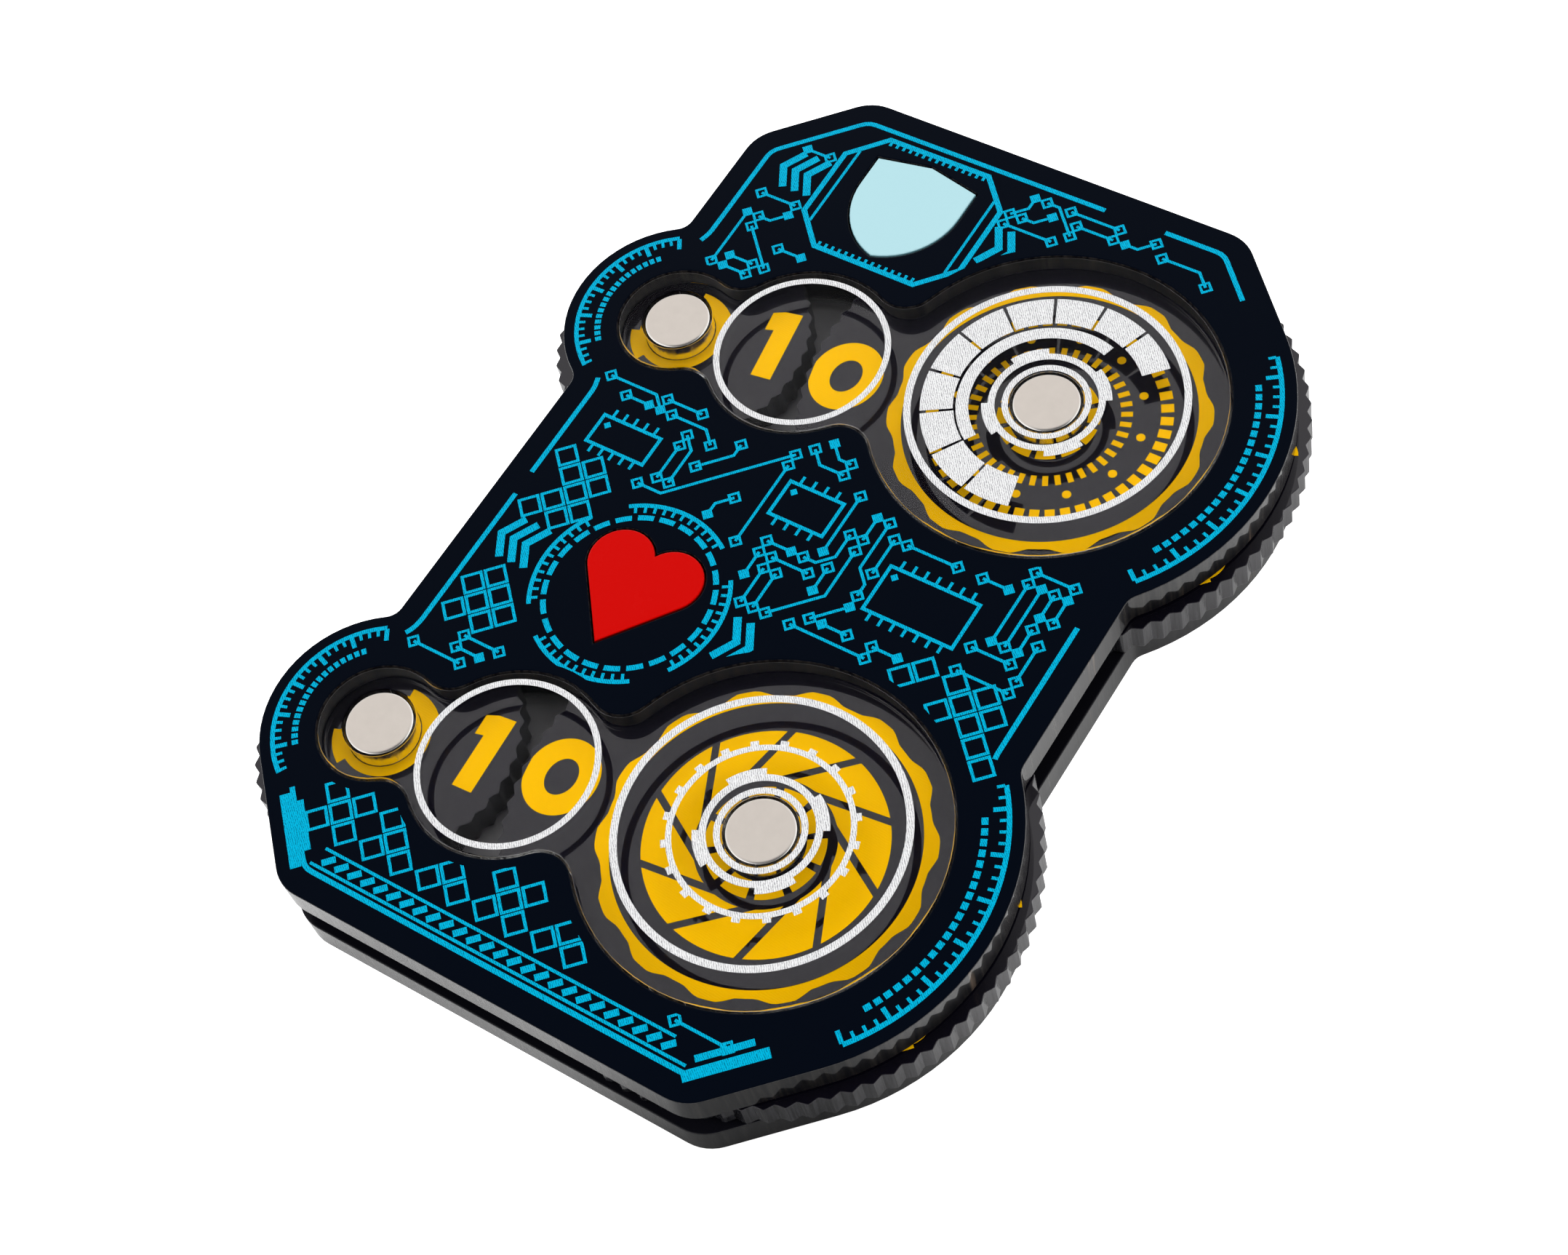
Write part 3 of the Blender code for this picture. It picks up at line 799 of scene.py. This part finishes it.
# %% Print the numerals, scallops and hubs of the wheels
NUMERAL_RULES = {
    "units": {"radius": 18.6, "inner": 14.3, "zero": 6.5, "values": [0, 9, 8, 7, 6, 5, 4, 3, 2, 1],
              "bearing": {"upper": 192.4, "lower": 188.5}, "lean": {"upper": -1.0, "lower": 0.0}},
    "tens": {"radius": 8.2, "inner": 5.6, "zero": 5.4, "values": [1, 0, 3, 2],
             "bearing": {"upper": 17.8, "lower": 17.2}, "lean": {"upper": 8.0, "lower": 3.0}},
}
RIM_MARGIN = 0.1
SCALLOPS = 14
SCALLOPED_RING = 12.8, 13.8
SCALLOP_WAVE = 0.28
TENS_HUB = MAGNET_RADIUS + 0.05, 3.95
TENS_LUG = 3.85, 4.7
TENS_LUG_ENDS = ((42, 95), (200, 242))


def number_ring(centre, rule, counter):
    """Numerals round a wheel. The first stands in the window, upright but for its lean."""
    shapes = []
    for index, value in enumerate(rule["values"]):
        turn = 360.0 / len(rule["values"]) * index
        place = polar(centre, rule["radius"], rule["bearing"][counter] + turn)[0]
        drawn = [shape + place for shape in numeral(value, rule["zero"])]
        shapes += turn_about(drawn, place, rule["lean"][counter] + turn)
    return shapes


def swollen(degrees):
    """The scallops' outer edge: a cosine, stretched and cut off, that swells to broad lobes."""
    return SCALLOPED_RING[1] + SCALLOP_WAVE * np.clip(1.5 * np.cos(np.radians(degrees * SCALLOPS)), -1, 1)


for counter in COUNTERS:
    for size, rule in NUMERAL_RULES.items():
        axle = f"{counter}_{size}"
        rim, core = (polar(AXLES[axle], radius, np.arange(0, 360, 3))
                     for radius in (WHEEL_RADII[axle] - KNURL_DEPTH - RIM_MARGIN, rule["inner"]))
        print_on_wheel(axle, "numerals", number_ring(AXLES[axle], rule, counter), rim, [core])
    tens, units = AXLES[counter + "_tens"], AXLES[counter + "_units"]
    print_on_wheel(counter + "_units", "scallops", band(units, SCALLOPED_RING[0], swollen, step=2.0))
    hub = band(tens, *TENS_HUB)
    for ends in TENS_LUG_ENDS:
        hub += band(tens, *TENS_LUG, *ends)
    print_on_wheel(counter + "_tens", "hub", hub)
print("wheels printed")

# %% Print the dials: white on the windows, yellow on the wheels
NUMBER_RING = 7.36, 7.91
WINDOW_RINGS = (11.68, 12.32), (3.3, 3.85), (4.45, 5.05)
NOTCHED_EDGE = 5.0, 5.6
TOOTHED_RING = 7.25, 7.75
CUT_RING = 5.9, 10.2
CUT_ENDS = 10.8, 5.6
CUT_LEAN = 42.0
GAUGE = 8.4, 10.9
GAUGE_BASE = 6.7, 7.8


def common_rings(counter):
    """The plain rings of a window and the notched ring round its hub."""
    units = AXLES[counter + "_units"]
    shapes = band(NUMBER_CENTRES[counter], *NUMBER_RING)
    for radii in WINDOW_RINGS:
        shapes += band(units, *radii)
    return shapes + dashes(units, *NOTCHED_EDGE, range(27, 387, 90), 36)


def lower_dial():
    """Twenty short teeth on a ring, over a yellow ring with ten leaning cuts, and ten dashes."""
    units = AXLES["lower_units"]
    white = band(units, *TOOTHED_RING) + ticks(units, 7.7, 8.15, 0.7, np.arange(0, 360, 18))
    yellow = band(units, *CUT_RING)
    cuts = []
    for start in range(0, 360, 36):
        cuts += line(polar(units, CUT_ENDS, (start, start + CUT_LEAN)), 0.62)
    return white, yellow + dashes(units, 3.4, 5.05, range(4, 364, 36), 28), cuts


def upper_dial():
    """A gauge of ten blocks that grow, over yellow ticks, dashes and dots."""
    units = AXLES["upper_units"]
    white = []
    for index in range(10):
        start = 44 + index * 24
        white += band(units, GAUGE[0] - 0.06 * index, GAUGE[1], start, start + 22.4)
    white += band(units, *GAUGE_BASE, 72.0, 236.0)
    yellow = ticks(units, 9.6, 10.7, 0.85, np.arange(0, 360, 7.5))
    yellow += ticks(units, 6.2, 7.2, 0.5, np.arange(0, 360, 9))
    for angle in np.arange(10, 370, 30):
        yellow += band(units, 3.4, 4.5, angle + 4.0, angle + 27.0)
        yellow.append(polar(polar(units, 8.3, angle)[0], 0.4, np.arange(0, 360, 30)))
    return white, yellow, ()


for counter, dial in (("upper", upper_dial), ("lower", lower_dial)):
    white, yellow, cuts = dial()
    print_ink(counter + "_window_print", common_rings(counter) + white, FRONT_TOP, "case", WHITE_INK)
    print_on_wheel(counter + "_units", "dial", yellow, without=cuts)
print("dials printed")

# %% [markdown]
# ## Printing on the front sheet
#
# The print is plain technical ornament: a border line, tick scales on the lobes, frames
# and chevrons round the inlays, chips, traces that end in diamond pads, a lattice and a
# striped band. A router walks the traces over a grid, and keeps clear of the rest.

# %% Motifs
LINE = 0.27
BORDER_INSET = 2.35


def evenly(loop, spacing):
    """A closed loop, walked at even steps found by distance along it."""
    closed = np.vstack([loop, loop[:1]])
    along = np.append(0.0, np.cumsum(np.linalg.norm(np.diff(closed, axis=0), axis=1)))
    count = round(along[-1] / spacing)
    steps = np.arange(count) * along[-1] / count
    return np.stack([np.interp(steps, along, closed[:, axis]) for axis in (0, 1)], axis=1)


def diamond(place, half):
    """The corners of a square that stands on one of them."""
    return polar(place, half, np.arange(4) * 90.0)


def pad(place, solid):
    """The end of a trace: a diamond, open or filled."""
    return [diamond(place, 0.62)] if solid else line(diamond(place, 0.58), LINE * 0.85, closed=True)


def box_loop(x, y, width, height):
    """A plain rectangle about its middle."""
    return np.array([(-1, -1), (1, -1), (1, 1), (-1, 1)]) * (width / 2, height / 2) + (x, y)


PIN_LENGTH = 0.9
CHIP_MARK = 0.4
CHIP_MARK_INSET = 0.85


def chip(x, y, width, height, pins):
    """A box with a mark at one corner and pins along both long sides."""
    shapes = line(box_loop(x, y, width, height), LINE * 1.2, closed=True)
    corner = x - width / 2 + CHIP_MARK_INSET, y + height / 2 - CHIP_MARK_INSET
    shapes.append(diamond(corner, CHIP_MARK))
    for offset in (np.arange(pins) - (pins - 1) / 2) * width / (pins + 0.5):
        for side in (-1, 1):
            base = y + side * height / 2
            shapes += line([(x + offset, base), (x + offset, base + side * PIN_LENGTH)], LINE)
    return shapes


CHEVRON_PITCH = 1.3
CHEVRON = np.array([(-1.2, -2.1), (0.0, 0.0), (-1.2, 2.1)])


def chevrons(x, y, side):
    """Solid chevrons in a row, three to the left and two to the right. The side is -1 or 1."""
    shapes = []
    for tip in x + side * CHEVRON_PITCH * np.arange(3 - (side > 0)):
        shapes += line(CHEVRON * (side, 1) + (tip, y), 0.7)
    return shapes


LONG_TICK = 4


def scale(centre, radius, start, end, step):
    """An arc with ticks on its inside, every fourth of them long, and a row of dashes."""
    marks = np.arange(start, end + 0.1, step)
    shapes = band(centre, radius, radius + 0.42, start, end)
    shapes += ticks(centre, radius - 0.55, radius + 0.1, LINE, marks)
    shapes += ticks(centre, radius - 1.05, radius + 0.1, 0.4, marks[::LONG_TICK])
    return shapes + dashes(centre, radius - 2.0, radius - 1.45, marks[3:-3] - step * 0.34, step * 0.68)

# %% Where ink may go
def holds(loop, points):
    """Which points a loop holds: a ray to the right of them crosses it an odd number of times."""
    x, y = points[:, 0, None], points[:, 1, None]
    x0, y0 = loop.T
    x1, y1 = np.roll(loop, -1, axis=0).T
    crosses = (y0 > y) != (y1 > y)
    at = x0 + (y - y0) * (x1 - x0) / np.where(y1 == y0, 1.0, y1 - y0)
    return np.sum(crosses & (x < at), axis=1) % 2 == 1


def clear_of(points, loops, margin):
    """Which points lie on the sheet inside its border and outside all of the loops."""
    clear = holds(grown(FRONT_LOOPS[0], -BORDER_INSET - margin), points)
    for loop in loops:
        clear &= ~holds(loop, points)
    return clear

# %% Walk traces over a grid
GRID = 1.22
ROUTER_SEED = 11
DIRECTIONS = np.array([(1, 0), (1, 1), (0, 1), (-1, 1), (-1, 0), (-1, -1), (0, -1), (1, -1)])


def walk(free, cell, way, turns):
    """Go on from a cell while the next one is free. Each turn is -1, 0 or 1 eighth."""
    path = [tuple(cell)]
    for turn in turns:
        for change in (turn, 0, -turn):
            x, y = path[-1]
            dx, dy = DIRECTIONS[(way + change) % 8]
            open_way = free[x + dx, y + dy] and free[x + dx, y] and free[x, y + dy]
            if open_way and (x + dx, y + dy) not in path:
                way = (way + change) % 8
                path.append((x + dx, y + dy))
                break
        else:
            break
    return path


def routed(keep_out, seed):
    """Traces that fill the free part of the sheet. Each one takes up the cells it passes."""
    random = np.random.default_rng(seed)
    low = np.floor(FRONT_LOOPS[0].min(axis=0)) - GRID
    count = np.ceil(np.ptp(FRONT_LOOPS[0], axis=0) / GRID).astype(int) + 3
    cells = np.stack(np.meshgrid(*map(np.arange, count), indexing="ij"), axis=-1).reshape(-1, 2)
    free = clear_of(low + cells * GRID, keep_out, 1.0).reshape(count)
    shapes = []
    for cell in random.permutation(np.argwhere(free)):
        turns = random.choice([-1, 0, 0, 0, 0, 1], random.integers(4, 11))
        path = walk(free, cell, 2 * random.integers(4), turns) if free[tuple(cell)] else []
        if len(path) < 3:
            continue
        free[tuple(np.array(path).T)] = False
        path = low + np.array(path) * GRID
        bend = np.linalg.norm(np.diff(path, 2, axis=0), axis=1) > 0.1
        corners = path[np.concatenate([[True], bend, [True]])]
        shapes += line(corners, LINE) + pad(corners[0], False) + pad(corners[-1], len(path) % 3 == 0)
    return shapes

# %% Layout
INLAY_LOOPS = sorted(FRONT_LOOPS[-2:], key=lambda loop: -loop[:, 1].mean())
SHIELD_PLACE, HEART_PLACE = ((loop.min(axis=0) + loop.max(axis=0)) / 2 for loop in INLAY_LOOPS)
WINDOW_LOOPS = FRONT_LOOPS[1:3]


def sector(centre, inner, outer, start, end):
    """The outline of part of a ring."""
    angles = np.linspace(start, end, 16)
    return np.concatenate([polar(centre, outer, angles), polar(centre, inner, angles[::-1])])


BORDER_ENDS = {"tens": 8.9, "units": 19.3}
BORDER_GAPS = (9.0, 43.3, 3.0), (24.8, 8.7, 4.0), (-25.1, -4.0, 1.3)


def border():
    """The border follows the outline, and leaves out the lobes and a few gaps."""
    loop = evenly(grown(FRONT_LOOPS[0], -BORDER_INSET), 0.5)
    blocks = np.array(line(loop, 0.45, closed=True))
    middles = blocks.mean(axis=1)
    keep = np.ones(len(blocks), bool)
    for name, centre in AXLES.items():
        keep &= np.hypot(*(middles - centre).T) > BORDER_ENDS[name.split("_")[1]]
    for x, y, radius in BORDER_GAPS:
        keep &= np.hypot(*(middles - (x, y)).T) > radius
    return list(blocks[keep])


def frames():
    """The frames of the two inlays, with chevrons at their sides."""
    x, y = SHIELD_PLACE
    corners = np.array([(-8.2, -3.6), (-5.2, -6.7), (5.2, -6.7), (8.2, -3.6)])
    corners = np.concatenate([corners, -corners]) + SHIELD_PLACE
    shapes = line(corners, 0.5, closed=True)
    for side in (-1, 1):
        shapes += chevrons(x + side * 10.1, y, side)
        shapes += line([(x + side * 7.1, y - 4.4), (x + side * 7.1, y + 4.4)], LINE)
        for step in np.arange(-7, 8) * 0.7:
            shapes += line([(x + step, y + side * 6.5), (x + step, y + side * 6.05)], LINE)
    shapes += dashes(HEART_PLACE, 7.2, 7.7, range(2, 362, 15), 11)
    for middle in range(0, 360, 90):
        shapes += band(HEART_PLACE, 8.5, 8.9, middle - 34, middle + 34)
        shapes += ticks(HEART_PLACE, 7.95, 8.6, LINE, np.arange(middle - 30, middle + 31, 6))
    for side in (-1, 1):
        shapes += chevrons(HEART_PLACE[0] + side * 10.9, HEART_PLACE[1], side)
    return shapes


LATTICE_PITCH = 2.9


def lattice():
    """Open diamonds in brick order in parts of the sheet. It frays where some are left out."""
    shapes = []
    rows, columns = np.arange(-28, 24), np.arange(-9, 10)
    row, column = (part.ravel() for part in np.meshgrid(rows, columns))
    places = np.stack([column + row % 2 / 2, row / 2], axis=1) * LATTICE_PITCH
    keep = clear_of(places, KEEP_OUT, 0.7) & ((3 * row * row + 5 * column + row * column) % 6 > 0)
    keep &= sum(holds(part, places) for part in LATTICE_PARTS).astype(bool)
    for place in places[keep]:
        shapes += line(diamond(place, LATTICE_PITCH * 0.41), LINE, closed=True)
    return shapes


def foot():
    """A band of stripes between two lines, and two bars along each lower corner."""
    shapes = line([(-19.4, -41.0), (15.4, -41.0)], LINE) + line([(-19.8, -42.65), (17.4, -42.65)], LINE)
    for x in np.arange(-18.9, 15.2, 1.35):
        shapes += line([(x, -42.25), (x + 0.85, -41.4)], 0.6)
    for side, corner in ((-1, -25.6), (1, 22.6)):
        for gap, length, width in ((0.0, 5.0, 0.95), (1.5, 3.4, 0.6)):
            start = np.array((corner - side * gap, -38.6 + gap * 0.1))
            shapes += line([start, start - (side * length, length)], width)
    return shapes


LOBES = {"tens": (6.4, 12.0, 115, 245), "units": (16.9, 22.0, -42, 42)}
LATTICE_PARTS = [box_loop(*part) for part in (
    (-21.6, -8.5, 9.4, 20.4), (20.0, -8.0, 12.0, 9.0), (-8.0, -38.6, 30.0, 5.4))]
CHIPS = [(12.6, 0.6, 8.6, 4.6, 7), (-1.2, 4.6, 5.4, 3.6, 4), (-19.6, 3.6, 6.0, 3.0, 5)]
KEEP_OUT = [
    *(grown(loop, 1.35) for loop in WINDOW_LOOPS),
    polar(HEART_PLACE, 9.5, np.arange(0, 360, 20)), box_loop(*SHIELD_PLACE, 17.8, 15.6),
    *(box_loop(*place, 27.6, 5.0) for place in (SHIELD_PLACE, HEART_PLACE)),
    *(box_loop(x, y, width + 1.4, height + 3.4) for x, y, width, height, pins in CHIPS),
    *(sector(centre, *LOBES[name.split("_")[1]]) for name, centre in AXLES.items()),
    box_loop(-2.0, -42.4, 38.4, 4.0),
]
FRONT_PRINT = border() + frames() + foot() + lattice() + routed(KEEP_OUT + LATTICE_PARTS, ROUTER_SEED)
for numbers in CHIPS:
    FRONT_PRINT += chip(*numbers)
for counter in COUNTERS:
    FRONT_PRINT += scale(AXLES[counter + "_units"], 19.6, -39, 39, 3.0)
    FRONT_PRINT += scale(AXLES[counter + "_tens"], 9.0, 122, 238, 5.0)
print("polygons in the front print:", len(FRONT_PRINT))

# %% Print the front sheet
EDGE_MARGIN = 1.0
WINDOW_MARGIN = 0.9
print_ink(
    "front_print", FRONT_PRINT, FRONT_TOP, "case", CYAN_INK, within=grown(FRONT_LOOPS[0], -EDGE_MARGIN),
    without=[grown(loop, WINDOW_MARGIN) for loop in WINDOW_LOOPS])

# %% [markdown]
# ## Floor, light and camera
#
# The floor is plain and pale, and glows white for the camera alone, as on a light table.
# The black faces are mirrors, so what they reflect matters more than what shines on them.
# The world is a white tent, with a dim opening where the camera's mirror image falls.
# Three soft lamps, hidden from reflections, give the shading. One spot of painted shadow
# on the floor darkens the walls that mirror it.

# %% Floor
# Painted shadow on the floor: its middle, and the reaches over which it fades.
PAINTED_SHADOW_SPOT = (25.0, -47.0, 0.0)
PAINTED_SHADOW_REACH = 8 * MM, 22 * MM
FLOOR_HALF = 4000


def pale_floor():
    """A broad plain floor, a little uneven in tone, with one spot of painted shadow."""
    material, tree = new_material(
        "pale_floor", None, Roughness=0.8, Specular_IOR_Level=0.0, Emission_Strength=0.95)
    seen = node(tree, "LightPath").outputs["Is Camera Ray"]
    glow = blend(tree, seen, (0.0, 0.0, 0.0), (1.0, 1.0, 1.0))
    tree.links.new(glow, principled(material, "Emission_Color"))
    clouds = effect(tree, CLOUDS, Scale=0.01)
    pale = blend(tree, clouds, (0.88, 0.88, 0.88), (0.92, 0.92, 0.92))
    # Painted shadow: the floor's colour falls to dark grey round one spot near the front corner, where the
    # walls mirror it.
    lit = between(tree, away_from(tree, PAINTED_SHADOW_SPOT), 0.0, 1.0, *PAINTED_SHADOW_REACH)
    tree.links.new(blend(tree, lit, (0.2, 0.2, 0.2), pale), principled(material, "Base_Color"))
    corners = np.array([(-1, -1, 0), (1, -1, 0), (1, 1, 0), (-1, 1, 0)]) * FLOOR_HALF
    new_mesh("floor", corners, [range(4)], material)


pale_floor()

# %% Lights
LAMP_DISTANCE = 1.5
LAMPS = {
    "key": ((-0.2, 0.3, 0.93), 1.2, 11.0), "fill": ((-0.6, -0.5, 0.63), 1.0, 8.5),
    "side": ((0.75, 0.1, 0.62), 1.0, 8.5),
}
OPENING = Vector((0.396, -0.364, 0.843))
OPENING_FADE = 46.0, 32.0


def lamp(name, towards, size, power):
    """A round soft light from a direction, seen in no reflection."""
    light = bpy.data.lights.new(name, "AREA")
    light.shape = "DISK"
    light.size = size
    light.energy = power
    made = new_object(name, light)
    way = Vector(towards).normalized()
    made.location = way * LAMP_DISTANCE
    made.rotation_euler = way.to_track_quat("Z", "Y").to_euler()
    made.visible_glossy = False
    made.visible_transmission = False


def tent(bright, dim):
    """A white tent with a dim opening. The cosine of the angle to its middle is a dot product."""
    world = bpy.data.worlds.new("tent")
    world.use_nodes = True
    tree = world.node_tree
    ends = {0: node(tree, "TexCoord").outputs["Generated"], 1: OPENING.normalized()}
    product = node(tree, "VectorMath", ends, operation="DOT_PRODUCT").outputs["Value"]
    strength = between(tree, product, bright, dim, *np.cos(np.radians(OPENING_FADE)))
    background = tree.nodes["Background"]
    tree.links.new(strength, background.inputs["Strength"])
    background.inputs["Color"].default_value = (1.0, 1.0, 1.0, 1.0)
    bpy.context.scene.world = world


for name, values in LAMPS.items():
    lamp(name, *values)
tent(bright=1.2, dim=0.15)

# %% Camera
CAMERA_PLACE = (97.93, -93.01, 210.62)
CAMERA_TURN = (31.293, 9.493, 32.270)
LENS = 66.22

camera = new_object("camera", bpy.data.cameras.new("camera"))
camera.location = Vector(CAMERA_PLACE) * MM
camera.rotation_euler = np.radians(CAMERA_TURN)
camera.data.lens = LENS
camera.data.clip_start = 10 * MM
bpy.context.scene.camera = camera
bpy.context.scene.view_settings.view_transform = "Standard"
print("camera looks along", (camera.matrix_basis.to_3x3() @ Vector((0, 0, -1)))[:])
